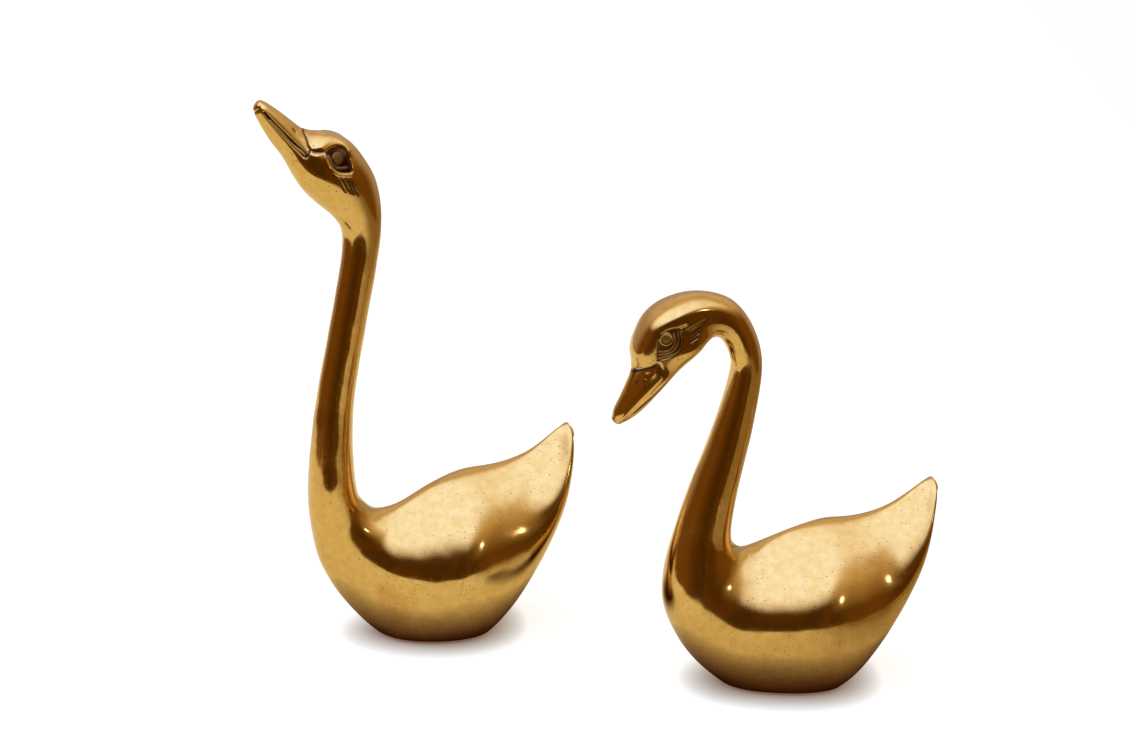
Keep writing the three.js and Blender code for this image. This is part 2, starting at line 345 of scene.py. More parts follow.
def makeBrass(settings):
    material, tree = startMaterial("polishedCastBrass")
    spot = addNode(tree, "TexCoord").outputs["Object"]
    along = addNode(tree, "Mapping", {"Vector": spot, "Rotation": settings["hairTurn"],
                                      "Scale": settings["hairStretch"]})
    noise = {}
    for name in ("cloud", "mottle", "hairs", "ripple"):
        size, detail, grain = settings[name]
        vector = along.outputs[0] if name == "hairs" else spot
        noise[name] = addNode(tree, "TexNoise",
                              {"Vector": vector, "Scale": 1.0 / (size * mm), "Detail": detail,
                               "Roughness": grain}).outputs["Fac"]
    low, high = settings["deepEdge"]
    depth = addNode(tree, "MapRange", {"Value": noise["mottle"], "From Min": low, "From Max": high})
    metal = addNode(tree, "Mix", {0: depth.outputs[0], 6: colour(settings["bright"]),
                                  7: colour(settings["deep"])}, data_type="RGBA")
    low, high = settings["tarnishEdge"]
    stain = addNode(tree, "MapRange",
                    {"Value": noise["cloud"], "From Min": low, "From Max": high,
                     "To Max": settings["tarnishMost"]}, interpolation_type="SMOOTHSTEP")
    stained = addNode(tree, "Mix", {0: stain.outputs[0], 6: metal.outputs[2],
                                    7: colour(settings["tarnish"])}, data_type="RGBA")

    # pits in some of the cells, more of them where the cloud is dense
    pits = addNode(tree, "TexVoronoi",
                   {"Vector": spot, "Scale": 1.0 / (settings["pitSpacing"] * mm),
                    "Randomness": 1.0})
    rim = settings["pitSize"] / settings["pitSpacing"]
    pitMask = addNode(tree, "MapRange", {"Value": pits.outputs["Distance"], "From Min": rim,
                                         "From Max": settings["pitFloor"] * rim})
    low, high = settings["pitEdge"]
    fewest, most = settings["pitShare"]
    cluster = addNode(tree, "MapRange", {"Value": noise["cloud"], "From Min": low,
                                         "From Max": high, "To Min": fewest, "To Max": most})
    chosen = addNode(tree, "SeparateColor", {0: pits.outputs["Color"]})
    keep = addNode(tree, "Math", {0: chosen.outputs[0], 1: cluster.outputs[0]},
                   operation="LESS_THAN")
    pitted = addNode(tree, "Math", {0: pitMask.outputs[0], 1: keep.outputs[0]},
                     operation="MULTIPLY")

    # the castings carry how much dirt lies at each spot
    grime = addNode(tree, "Attribute", attribute_name="grime")
    dirty = addNode(tree, "Math",
                    {0: grime.outputs["Fac"], 1: pitted.outputs[0]}, operation="MAXIMUM")
    skin = addNode(tree, "Mix", {0: dirty.outputs[0], 6: stained.outputs[2],
                                 7: colour(settings["dirt"])}, data_type="RGBA")
    low, high = settings["roughEdge"]
    least, most = settings["roughness"]
    haze = addNode(tree, "MapRange", {"Value": noise["mottle"], "From Min": low, "From Max": high,
                                      "To Min": least, "To Max": most})
    rough = addNode(tree, "Math", {0: grime.outputs["Fac"], 1: settings["roughDirt"],
                                   2: haze.outputs[0]}, operation="MULTIPLY_ADD")
    rippleBump = addNode(tree, "Bump", {"Height": noise["ripple"], "Strength": 1.0,
                                        "Distance": settings["rippleDepth"] * mm})
    hairBump = addNode(tree, "Bump",
                       {"Height": noise["hairs"], "Strength": 0.5,
                        "Distance": settings["hairDepth"] * mm,
                        "Normal": rippleBump.outputs[0]})
    pitBump = addNode(tree, "Bump",
                      {"Height": pitted.outputs[0], "Strength": 0.3,
                       "Distance": settings["pitDepth"] * mm,
                       "Normal": hairBump.outputs[0]}, invert=True)
    shader = addNode(tree, "BsdfPrincipled",
                     {"Base Color": skin.outputs[2], "Metallic": 1.0,
                      "Roughness": rough.outputs[0], "Normal": pitBump.outputs[0]})
    addNode(tree, "OutputMaterial", {"Surface": shader.outputs[0]})
    return material


# Brass rod, drawn and left unpolished: a dull golden face with a fine grain
rodSettings = {"face": "#c9a65c", "shade": "#a8823f", "grainSize": 0.4, "grainDepth": 0.02,
               "roughness": 0.38}


def makeRod(settings):
    material, tree = startMaterial("drawnBrassRod")
    spot = addNode(tree, "TexCoord").outputs["Object"]
    grain = addNode(tree, "TexNoise",
                    {"Vector": spot, "Scale": 1.0 / (settings["grainSize"] * mm), "Detail": 3.0})
    face = addNode(tree, "Mix", {0: grain.outputs["Fac"], 6: colour(settings["face"]),
                                 7: colour(settings["shade"])}, data_type="RGBA")
    bump = addNode(tree, "Bump", {"Height": grain.outputs["Fac"], "Strength": 0.3,
                                  "Distance": settings["grainDepth"] * mm})
    shader = addNode(tree, "BsdfPrincipled",
                     {"Base Color": face.outputs[2], "Metallic": 1.0,
                      "Roughness": settings["roughness"], "Normal": bump.outputs[0]})
    addNode(tree, "OutputMaterial", {"Surface": shader.outputs[0]})
    return material


# Wool felt, pressed: dark, matt and slightly fuzzy, with paler fibres here and there
feltSettings = {"wool": "#241a14", "fibre": "#4a3a2d", "fibreEdge": (0.5, 0.75),
                "fibreSize": 0.35, "fibreDepth": 0.1, "lumpSize": 2.2, "lumpDepth": 0.2,
                "roughness": 0.95}


def makeFelt(settings):
    material, tree = startMaterial("pressedWoolFelt")
    spot = addNode(tree, "TexCoord").outputs["Object"]
    fibres = addNode(tree, "TexNoise",
                     {"Vector": spot, "Scale": 1.0 / (settings["fibreSize"] * mm),
                      "Detail": 4.0, "Distortion": 2.0})
    lumps = addNode(tree, "TexNoise",
                    {"Vector": spot, "Scale": 1.0 / (settings["lumpSize"] * mm), "Detail": 2.0})
    low, high = settings["fibreEdge"]
    pale = addNode(tree, "MapRange",
                   {"Value": fibres.outputs["Fac"], "From Min": low, "From Max": high})
    wool = addNode(tree, "Mix", {0: pale.outputs[0], 6: colour(settings["wool"]),
                                 7: colour(settings["fibre"])}, data_type="RGBA")
    lumpBump = addNode(tree, "Bump", {"Height": lumps.outputs["Fac"], "Strength": 0.6,
                                      "Distance": settings["lumpDepth"] * mm})
    fibreBump = addNode(tree, "Bump",
                        {"Height": fibres.outputs["Fac"], "Strength": 0.8,
                         "Distance": settings["fibreDepth"] * mm,
                         "Normal": lumpBump.outputs[0]})
    shader = addNode(tree, "BsdfPrincipled",
                     {"Base Color": wool.outputs[2], "Roughness": settings["roughness"],
                      "Specular IOR Level": 0.15, "Sheen Weight": 0.4, "Sheen Roughness": 0.5,
                      "Normal": fibreBump.outputs[0]})
    addNode(tree, "OutputMaterial", {"Surface": shader.outputs[0]})
    return material


brass = makeBrass(brassSettings)
rod = makeRod(rodSettings)
felt = makeFelt(feltSettings)
print("materials made")


# The two swans. A rib is a cross-section, from the beak tip to the tail tip: its back and front
# points in the swan's side view, its half width, how much narrower its back half is, and how flat
# its flanks are above and below the widest line
tallSwan = {
    "name": "tall",
    "body": "tall_swan",
    "standsAt": (-75.73, 22.57),
    "turn": 14.0,
    "waveSeed": 7,
    "head": [
        (-66.3, 246.4, -69.9, 242.1, 3.4, -0.2, 0, 0.15),
        (-63.8, 244.9, -69.4, 239.8, 4.7, -0.22, 0, 0.2),
        (-57, 239.5, -64.5, 230.1, 6.6, -0.16, 0, 0.2),
        (-49.4, 233.3, -59.5, 222.7, 8.5, -0.06, 0, 0.12),
        (-41, 231.7, -55.3, 214.3, 11),
        (-31.7, 228.2, -51.3, 207.7, 13),
        (-24, 218.7, -44.9, 200.7, 12.5),
        (-19, 206.6, -38.3, 194.3, 10.5),
        (-18.1, 187, -34.7, 184.5, 8.5),
    ],
    "neck": [
        (-23.7, 156, -39.1, 157, 8),
        (-32.5, 109, -49, 110, 9),
        (-32.5, 73, -53.5, 72, 12.9, 0.1),
    ],
    "saddle": [
        (-28.5, 63, -52.5, 52, 12.7, 0.05, -0.24),
        (-21.5, 58, -48.5, 34, 14.3, -0.03, -0.19),
    ],
    "hollow": [
        (-12, 61, -36.5, 13.5, 17.9, -0.06, 0.31, -0.07),
        (0.5, 68, -18, -4, 26.3, 0, 0.38, -0.18),
        (16, 73.2, 5, -8, 32.7, 0.06, 0.17, -0.05),
        (32, 75, 23.5, -3, 28.8, 0.16, 0.14, -0.02),
        (46, 80, 42, 20, 22.8, 0.4, 0.15),
    ],
    "tail": [
        (58, 89, 59.2, 53, 15, 0.64, 0.09),
        (63.4, 92, 65, 77, 8.5, 0.25),
        (64.6, 90.2, 65, 84, 4.2),
    ],
}

shortSwan = {
    "name": "short",
    "body": "short_swan",
    "standsAt": (77.47, -27.93),
    "turn": 9.0,
    "waveSeed": 11,
    "head": [
        (-74.1, 124.3, -70, 121.5, 3.3),
        (-73.2, 128, -66.7, 123.5, 4.9, 0.15, 0, -0.2),
        (-70, 134.5, -61, 129, 7.3, 0.25, 0, -0.4),
        (-66, 146, -52.1, 140, 9.95, 0.25, -0.25, -0.6),
        (-66.7, 154.3, -45.5, 146, 11.3, 0.08, -0.6, -0.45),
        (-61.7, 165.9, -38.7, 152.6, 12.3, 0.06, -0.76, -0.8),
        (-52, 173.1, -34.8, 156.8, 11.9, 0.03, -0.8, -0.55),
        (-38.3, 176.3, -31.3, 157.4, 10.2, 0.02, -0.6, 0.1),
    ],
    "neck": [
        (-24.5, 172.7, -28, 155, 9, 0, -0.3, 0.3),
        (-15.7, 161.5, -25, 148.5, 8.5, 0, 0, 0.2),
        (-11.2, 144, -24.5, 140, 8, 0, 0, -0.25),
        (-14.7, 116, -31.4, 116.5, 8.5),
        (-20.5, 89, -41, 90, 11.4),
        (-23, 70, -48.5, 65.5, 13.6, -0.05),
    ],
    "saddle": [
        (-20.5, 63, -51.5, 48, 17, 0.13, -0.1, -0.06),
        (-14.5, 60.5, -50, 32.5, 19, 0.23, -0.06, -0.06),
    ],
    "hollow": [
        (-6.5, 64.5, -39, 13, 22, 0.18, 0.31, -0.03),
        (5.5, 69, -19, -4, 27.9, 0, 0.48, -0.08),
        (18.5, 71.7, 5, -8, 32, 0.02, 0.28, -0.08),
        (33, 72.5, 24, -3, 29.3, 0.19, 0.19),
        (46.5, 77, 42, 19, 21.9, 0.46, 0.05),
    ],
    "tail": [
        (59, 85.8, 58, 50, 15.3, 0.6, 0.07),
        (64.3, 88.4, 64, 75, 8.5, 0.25),
        (65.5, 87, 65.2, 82, 4.2),
    ],
}

castingSettings = {
    "sides": 272,
    "headSpacing": 0.27,  # between rings, fine enough for the cut lines
    "neckSpacing": 0.9,
    "bodySpacing": 1.0,
    "fairing": 0.2,  # of a rib, so that reflections run smoothly past the ribs
    "tipRings": 10,
    "beakBulge": 0.6,  # of the last section's half height
    "tailBulge": 0.5,
    "wall": 4.0,
    "footHeight": 1.8,
    "innerSides": 96,
    "innerSpacing": 2.5,
    "innerDirt": 0.4,
    "waves": 12,  # what filing and polishing by hand leaves
    "waveLengths": (9.0, 30.0),
    "waveHeight": 0.015,
}
flankGather = 0.2  # draws a ring's points towards the flanks, where the marks are
weldGap = 0.0005  # points nearer than this are one
slack = 1e-4


def ribRows(swan):
    ribs = swan["head"] + swan["neck"] + swan["saddle"] + swan["hollow"] + swan["tail"]
    return np.array([list(rib) + [0.0] * (8 - len(rib)) for rib in ribs])


# the places, counted in ribs, between which a body is hollow
def hollowSpan(swan):
    first = len(swan["head"]) + len(swan["neck"]) + len(swan["saddle"]) - 1
    return first, first + len(swan["hollow"])


# sections on smooth curves through the ribs, at places counted in ribs
def throughRibs(rows, places):
    padded = np.vstack([2 * rows[0] - rows[1], rows, 2 * rows[-1] - rows[-2]])
    start = np.clip(places.astype(int), 0, len(rows) - 2)
    share = (places - start)[:, None]
    before, here, after, beyond = (padded[start + step] for step in range(4))
    leaving = (after - before) / 2
    arriving = (beyond - here) / 2
    cubic = 2 * here - 2 * after + leaving + arriving
    square = 3 * after - 3 * here - 2 * leaving - arriving
    return cubic * share ** 3 + square * share ** 2 + leaving * share + here


# the same, averaged a little along the run, and turned round the end points past the ends
def fairSections(rows, places, spread, reach=2.5, samples=21):
    last = len(rows) - 1
    offsets = np.linspace(-reach, reach, samples) * spread
    weights = np.exp(-0.5 * (offsets / spread) ** 2)
    total = np.zeros((len(places), rows.shape[1]))
    for offset, weight in zip(offsets, weights / weights.sum()):
        wanted = places + offset
        inside = np.clip(wanted, 0, last)
        value = throughRibs(rows, inside)
        past = (wanted - inside)[:, None]
        mirrored = throughRibs(rows, np.clip(2 * inside - wanted, 0, last))
        total += weight * np.where(past != 0, 2 * value - mirrored, value)
    return total


# places for rings that lie about one spacing apart at their widest, with both ends included
def ringPlaces(rows, first, last, spacing, steps=400):
    fine = np.linspace(first, last, steps)
    sections = throughRibs(rows, fine)
    backs = np.hypot(*np.diff(sections[:, 0:2], axis=0).T)
    fronts = np.hypot(*np.diff(sections[:, 2:4], axis=0).T)
    run = np.concatenate([[0.0], np.cumsum(np.maximum(backs, fronts))])
    count = max(3, int(math.ceil(run[-1] / spacing)))
    return np.interp(np.linspace(0, run[-1], count + 1), run, fine)


# points of a section at angles round it, drawn in by an inset
def sectionPoints(sections, angles, inset=0.0):
    centre = (sections[:, 0:2] + sections[:, 2:4]) / 2
    reach = (sections[:, 0:2] - sections[:, 2:4]) / 2
    size = np.maximum(np.hypot(*reach.T), 1e-6)[:, None]
    reach = reach * np.maximum(size - inset, 0.0) / size
    lift = np.cos(angles)
    inPlane = centre + reach * lift[:, None]
    flat = 1 - np.where(lift > 0, sections[:, 6], sections[:, 7]) * lift ** 2
    across = (np.maximum(sections[:, 4] - inset, 0.0) * np.sin(angles)
              * (1 - sections[:, 5] * lift) * flat)
    return np.stack([inPlane[:, 0], across, inPlane[:, 1]], axis=1)


# rings that close an end in a round tip, which stands out square to the last section
def tipSections(section, before, bulge, count):
    turns = np.linspace(0, math.pi / 2, count, endpoint=False)
    rings = np.repeat(section[None, :], len(turns), axis=0)
    centre = (section[0:2] + section[2:4]) / 2
    reach = section[0:2] - centre
    outward = np.array([-reach[1], reach[0]]) * bulge
    outward *= np.sign(outward @ (centre - (before[0:2] + before[2:4]) / 2))
    for ring, turn in zip(rings, turns):
        moved = centre + outward * math.cos(turn)
        ring[0:2] = moved + (section[0:2] - centre) * math.sin(turn)
        ring[2:4] = moved + (section[2:4] - centre) * math.sin(turn)
        ring[4] = section[4] * math.sin(turn)
    return rings


# what a mesh holds for each of its points, corners or faces, as rows where it is a vector
def readValues(items, name, kind=float, width=1):
    values = np.empty(len(items) * width, kind)
    items.foreach_get(name, values)
    return values if width == 1 else values.reshape(-1, width)


def writeValues(mesh, name, values):
    kind, field = ("FLOAT_VECTOR", "vector") if values.ndim == 2 else ("FLOAT", "value")
    mesh.attributes.new(name, kind, "POINT").data.foreach_set(field, values.ravel())


# a closed skin over sections: a grid rolled into a tube and welded at its edges
def rollSkin(sections, places, sides, inset=0.0):
    bm = bmesh.new()
    bmesh.ops.create_grid(bm, x_segments=sides, y_segments=len(sections) - 1, size=0.5)
    mesh = bpy.data.meshes.new("skin")
    bm.to_mesh(mesh)
    bm.free()
    flat = readValues(mesh.vertices, "co", width=3)
    ring = np.rint((flat[:, 1] + 0.5) * (len(sections) - 1)).astype(int)
    angles = (flat[:, 0] + 0.5) * 2 * math.pi
    angles[np.isclose(angles, 2 * math.pi)] = 0.0
    angles += flankGather * np.sin(2 * angles)
    points = sectionPoints(sections[ring], angles, inset)
    points[np.isclose(np.sin(angles), 0.0, atol=1e-6), 1] = 0.0
    mesh.vertices.foreach_set("co", points.ravel())
    writeValues(mesh, "place", places[ring])
    bm = bmesh.new()
    bm.from_mesh(mesh)
    bmesh.ops.remove_doubles(bm, verts=bm.verts, dist=weldGap)
    bmesh.ops.recalc_face_normals(bm, faces=bm.faces)
    for face in bm.faces:
        face.smooth = True
    bm.to_mesh(mesh)
    bm.free()
    return mesh


def easeBetween(values, low, high):
    share = np.clip((values - low) / (high - low), 0, 1)
    return share * share * (3 - 2 * share)


# a smooth path through a few points in the side view
def smoothPath(points, steps=8):
    rows = np.array(points, float)
    if len(rows) == 2:
        return rows
    return throughRibs(rows, np.linspace(0, len(rows) - 1, (len(rows) - 1) * steps + 1))


# how far each spot lies from a path, on which side of it (positive to its left), and how far along
def nearPath(spots, path):
    distance = np.full(len(spots), np.inf)
    side = np.zeros(len(spots))
    along = np.zeros(len(spots))
    pieces = np.diff(path, axis=0)
    lengths = np.hypot(*pieces.T)
    starts = np.concatenate([[0.0], np.cumsum(lengths)])
    for start, piece, length, before in zip(path[:-1], pieces, lengths, starts):
        reached = spots - start
        share = np.clip(reached @ piece / length ** 2, 0, 1)
        gap = reached - share[:, None] * piece
        away = np.hypot(*gap.T)
        closer = away < distance
        distance = np.where(closer, away, distance)
        turned = piece[0] * reached[:, 1] - piece[1] * reached[:, 0]
        side = np.where(closer, np.sign(turned), side)
        along = np.where(closer, (before + share * length) / starts[-1], along)
    return distance, side, along


# which spots lie inside a closed path
def insidePath(spots, path):
    inside = np.zeros(len(spots), bool)
    for start, end in zip(path[:-1], path[1:]):
        if start[1] == end[1]:
            continue
        spans = (spots[:, 1] < start[1]) != (spots[:, 1] < end[1])
        crossing = start[0] + (spots[:, 1] - start[1]) * (end[0] - start[0]) / (end[1] - start[1])
        inside ^= spans & (spots[:, 0] < crossing)
    return inside


# Marks on the heads, cut on both sides. Paths are in the swan's side view
tallMarks = {
    "beakEdge": {
        "path": [(-50.2, 234), (-49.4, 231), (-49.2, 228.4), (-48.6, 226.6), (-50, 224.2),
                 (-51.4, 222.4)],
        "drop": 0.5, "roll": 0.7, "fade": 9.0, "crease": 0.2, "width": 0.45, "creaseTo": 1.0,
    },
    "channels": [  # the mouth
        {"path": [(-66.2, 242.3), (-63.4, 238.6), (-57, 231.3), (-50.9, 224.9)],
         "halfStart": 1.2, "halfEnd": 1.9, "depth": 0.8},
    ],
    "hollows": [  # the socket of the eye
        {"path": [(-43, 226), (-40, 227.6), (-36.5, 227.8), (-33.5, 226), (-31.8, 222),
                  (-31.2, 216.5), (-33.5, 215.9), (-37.7, 216.8), (-40.3, 219.3), (-42, 222.8)],
         "depth": 1.0, "edge": 1.0, "dirt": 1.0},
    ],
    "bumps": [  # the cheek behind the mouth
        {"centre": (-46.1, 223.9), "radius": 2.2, "rise": 0.5},
    ],
    "ridges": [  # the brow, the lower lids and the lip
        {"path": [(-43.9, 227.6), (-40.9, 229.3), (-37.4, 229.5), (-34.4, 228), (-32.4, 225)],
         "rise": 1.0, "width": 2.0, "clean": 0.3},
        {"path": [(-42.5, 225), (-42.4, 222.2), (-40.7, 218.9), (-37.7, 216.2), (-31.8, 215)],
         "rise": 0.2, "width": 0.4, "clean": 0.45},
        {"path": [(-41.2, 224.1), (-39.3, 220.1), (-36.6, 218.9), (-33.3, 218.7)],
         "rise": 0.3, "width": 0.5, "clean": 0.35},
        {"path": [(-64.4, 239), (-60.3, 234.6), (-56.2, 229.6), (-51, 225)],
         "rise": 0.35, "width": 0.3, "clean": 0.8},
    ],
    "discs": [  # the eye
        {"centre": (-37.2, 223.1), "radius": 2.5, "rise": 0.6, "edge": 0.5, "dirt": 0.8},
    ],
    "grooves": [  # the nostril, the corner of the mouth and the line to the eye
        {"path": [(-54.9, 235.2), (-53.4, 233.5)], "depth": 0.4, "width": 0.35},
        {"path": [(-51.6, 223.4), (-49.6, 225.4)], "depth": 0.2, "width": 0.8},
        {"path": [(-48.2, 226.2), (-46, 225.9), (-43.4, 225.8)], "depth": 0.5, "width": 0.8},
    ],
    "strokes": [  # the feathers behind the eye, and a file mark at the joint
        [(-37.9, 215.3), (-34.9, 208.7)],
        [(-36.3, 215.4), (-32.6, 208)],
        [(-34, 214.7), (-31.4, 207.4)],
        [(-32.8, 214.3), (-29.4, 206.6)],
        [(-34.8, 194), (-32.2, 190.6)],
    ],
}

shortMarks = {
    "beakEdge": {
        "path": [(-68, 143.4), (-66.1, 144.9), (-63.2, 146.8), (-60.2, 148.2), (-57.2, 149.8),
                 (-55.7, 147.4), (-55.7, 144.2)],
        "drop": 1.2, "roll": 1.2, "fade": 9.0, "crease": 0.5, "width": 0.75, "creaseTo": 0.75,
    },
    "channels": [],
    "hollows": [  # the socket of the eye
        {"path": [(-57, 163.6), (-55.8, 164.6), (-53.7, 165.9), (-50.8, 166.4), (-47.9, 165.5),
                  (-47, 160), (-49.7, 154.1), (-56.9, 152.2)],
         "depth": 0.4, "edge": 0.6, "dirt": 0.9},
    ],
    "bumps": [],
    "ridges": [  # the lip, the brow and three lower lids
        {"path": [(-55.7, 144.2), (-59.3, 139.7), (-63.5, 134.5), (-67.5, 129.1),
                  (-70.6, 124.3)], "rise": 0.35, "width": 0.5, "clean": 0.0},
        {"path": [(-57.1, 161.3), (-55.8, 163.9), (-53.7, 165.4), (-50.8, 166), (-48.7, 166.1),
                  (-45.9, 166.8)], "rise": 0.35, "width": 0.45, "clean": 0.7},
        {"path": [(-50.9, 163.7), (-50.5, 159.8), (-53, 156.2), (-56.6, 155.8)],
         "rise": 0.35, "width": 0.35, "clean": 0.6},
        {"path": [(-49.2, 164.9), (-49.2, 159.8), (-52.1, 155.3), (-56.6, 154.4)],
         "rise": 0.35, "width": 0.35, "clean": 0.6},
        {"path": [(-48.1, 164.5), (-47.6, 159.7), (-50.3, 154.7), (-56.6, 152.8)],
         "rise": 0.35, "width": 0.35, "clean": 0.6},
    ],
    "discs": [  # the eye and its sunk iris
        {"centre": (-54.1, 161.1), "radius": 2.85, "rise": 0.55, "edge": 0.4, "dirt": 0.1},
        {"centre": (-54.1, 161.1), "radius": 2.2, "rise": -0.2, "edge": 0.4, "dirt": 0.5},
    ],
    "grooves": [  # the mouth, the front of the socket and the nostrils
        {"path": [(-51.9, 143.4), (-56, 138.7), (-60.3, 134.1), (-64.5, 129.5), (-68.3, 125)],
         "depth": 0.4, "width": 0.4},
        {"path": [(-57.1, 164), (-57.3, 158), (-57.2, 152.4)], "depth": 0.45, "width": 0.55},
        {"path": [(-65.6, 140.4), (-64.6, 142.2)], "depth": 0.15, "width": 0.42},
        {"path": [(-62.4, 141.7), (-61.9, 142.8)], "depth": 0.15, "width": 0.4},
        {"path": [(-61.9, 144.2), (-61.3, 145.3)], "depth": 0.15, "width": 0.4},
    ],
    "strokes": [  # the feathers behind the eye
        [(-46.7, 163.8), (-37.4, 168)],
        [(-44.4, 162.9), (-37.9, 166.8)],
        [(-44.4, 161.9), (-39.2, 165.2)],
        [(-44.4, 160.5), (-39.8, 163.6)],
        [(-44.8, 159.1), (-40.6, 161.5)],
    ],
}

chasingSettings = {
    "sides": (0.2, 0.45),  # of the half width, where marks start and are full
    "pastHead": 0.5,  # of a rib, so that marks may cross the joint with the neck
    "edgeLip": -0.1,  # the step of the bill starts to roll this far in front of its path
    "edgeFades": (0.3, 1.0),  # along its path
    "edgeOnMidline": 0.3,  # of the drop
    "creaseOnMidline": 0.4,
    "creaseFades": (-0.15, 0.1),  # before and past its end
    "pathEnd": 0.999,
    "channelFloor": 0.5,  # of the half width
    "channelDirt": 0.85,
    "ringWidth": 0.35,  # the ring of dirt round a raised disc
    "ringDirt": 0.9,
    "grooveEnds": 0.35,  # of the depth
    "grooveFades": 0.2,  # of the length
    "grooveDirt": 0.9,
    "strokeDepth": 0.22,
    "strokeWidth": 0.48,
}


# how far the marks lift or sink each spot of a head, and how much dirt lies in them
def cutMarks(marks, spots, sideways, settings):
    lift = np.zeros(len(spots))
    edge = marks["beakEdge"]
    distance, side, along = nearPath(spots, smoothPath(edge["path"]))
    signed = distance * side
    onPlumage = edge["drop"] * (1 - easeBetween(signed, settings["edgeLip"], edge["roll"]))
    onBeak = edge["drop"] * (1 - np.clip(-signed / edge["fade"], 0, 1)) ** 2
    onMidline = settings["edgeOnMidline"]
    ending = 1 - easeBetween(along, *settings["edgeFades"])
    ending *= onMidline + (1 - onMidline) * sideways
    lift -= np.where(signed > 0, onPlumage, onBeak) * ending
    creaseEnd = [edge["creaseTo"] + offset for offset in settings["creaseFades"]]
    crease = np.exp(-(distance / edge["width"]) ** 2) * (along < settings["pathEnd"])
    crease *= 1 - easeBetween(along, *creaseEnd)
    onMidline = settings["creaseOnMidline"]
    lift -= edge["crease"] * crease * (onMidline + (1 - onMidline) * sideways)
    grime = crease
    for hollow in marks["hollows"]:
        closed = smoothPath(hollow["path"] + hollow["path"][:1])
        distance, side, along = nearPath(spots, closed)
        depth = easeBetween(distance, 0.0, hollow["edge"]) * insidePath(spots, closed)
        lift -= hollow["depth"] * depth * sideways
        grime = np.maximum(grime, hollow["dirt"] * depth * sideways)
    for channel in marks["channels"]:
        distance, side, along = nearPath(spots, smoothPath(channel["path"]))
        half = channel["halfStart"] + (channel["halfEnd"] - channel["halfStart"]) * along
        depth = 1 - easeBetween(distance, settings["channelFloor"] * half, half)
        lift -= channel["depth"] * depth * sideways
        grime = np.maximum(grime, settings["channelDirt"] * depth * sideways)
    for bump in marks["bumps"]:
        away = np.hypot(*(spots - np.array(bump["centre"])).T)
        lift += bump["rise"] * np.exp(-(away / bump["radius"]) ** 2) * sideways
    for ridge in marks["ridges"]:
        distance, side, along = nearPath(spots, smoothPath(ridge["path"]))
        rounded = np.exp(-(distance / ridge["width"]) ** 2)
        lift += ridge["rise"] * rounded * sideways
        grime = grime * (1 - ridge["clean"] * rounded)
    for disc in marks["discs"]:
        away = np.hypot(*(spots - np.array(disc["centre"])).T)
        inner = disc["radius"] - disc["edge"] / 2
        outer = disc["radius"] + disc["edge"] / 2
        top = 1 - easeBetween(away, inner, outer)
        lift += disc["rise"] * top * sideways
        grime = grime * (1 - top) + disc["dirt"] * top
        if disc["rise"] > 0:
            ring = np.exp(-((away - outer) / settings["ringWidth"]) ** 2)
            grime = np.maximum(grime, settings["ringDirt"] * ring)
    strokes = [{"path": path, "depth": settings["strokeDepth"], "width": settings["strokeWidth"]}
               for path in marks["strokes"]]
    ends = settings["grooveEnds"]
    for groove in marks["grooves"] + strokes:
        distance, side, along = nearPath(spots, smoothPath(groove["path"]))
        full = easeBetween(np.minimum(along, 1 - along), 0.0, settings["grooveFades"])
        cut = np.exp(-(distance / groove["width"]) ** 2) * (ends + (1 - ends) * full)
        lift -= groove["depth"] * cut * sideways
        grime = np.maximum(grime, settings["grooveDirt"] * cut * sideways)
    return lift, grime


# the whole outside of a swan in one skin, with its marks, before it is parted into castings
def makeSkin(swan, marks, settings, chasing):
    rows = ribRows(swan)
    headEnd = len(swan["head"]) - 1
    neckEnd = headEnd + len(swan["neck"])
    tailTip = len(rows) - 1
    places = np.concatenate([
        ringPlaces(rows, 0, headEnd, settings["headSpacing"])[:-1],
        ringPlaces(rows, headEnd, neckEnd, settings["neckSpacing"])[:-1],
        ringPlaces(rows, neckEnd, tailTip, settings["bodySpacing"]),
    ])
    sections = fairSections(rows, places, settings["fairing"])
    ends = settings["tipRings"]
    beakTip = tipSections(sections[0], sections[4], settings["beakBulge"], ends)
    tailEnd = tipSections(sections[-1], sections[-4], settings["tailBulge"], ends)[::-1]
    sections = np.vstack([beakTip, sections, tailEnd])
    places = np.concatenate([np.zeros(ends), places, np.full(ends, float(tailTip))])
    skin = rollSkin(sections, places, settings["sides"])

    points = readValues(skin.vertices, "co", width=3)
    normals = readValues(skin.vertices, "normal", width=3)
    place = readValues(skin.attributes["place"].data, "value")
    lift = np.zeros(len(points))
    grime = np.zeros(len(points))
    onHead = place < headEnd + chasing["pastHead"]
    halfWidth = np.interp(place[onHead], np.arange(len(rows)), rows[:, 4])
    outwards = np.abs(points[onHead, 1]) / np.maximum(halfWidth, 1.0)
    sideways = easeBetween(outwards, *chasing["sides"])
    lift[onHead], grime[onHead] = cutMarks(marks, points[onHead][:, [0, 2]], sideways, chasing)

    # the same waves on both sides, so that the halves meet
    folded = np.stack([points[:, 0], np.abs(points[:, 1]), points[:, 2]], axis=1)
    randomWaves = np.random.default_rng(swan["waveSeed"])
    for wave in range(settings["waves"]):
        heading = randomWaves.normal(size=3)
        length = randomWaves.uniform(*settings["waveLengths"])
        turn = randomWaves.uniform(0, 2 * math.pi)
        heading *= 2 * math.pi / length / np.linalg.norm(heading)
        lift += settings["waveHeight"] * np.sin(folded @ heading + turn)
    onMidline = points[:, 1] == 0.0
    moved = points + normals * lift[:, None]
    moved[onMidline, 1] = 0.0
    skin.vertices.foreach_set("co", moved.ravel())
    skin.update()
    flow = readValues(skin.vertices, "normal", width=3)
    flow[onMidline, 1] = 0.0
    flow /= np.linalg.norm(flow, axis=1)[:, None]
    writeValues(skin, "flow", flow)
    writeValues(skin, "grime", grime)
    return skin, (headEnd, neckEnd, tailTip)


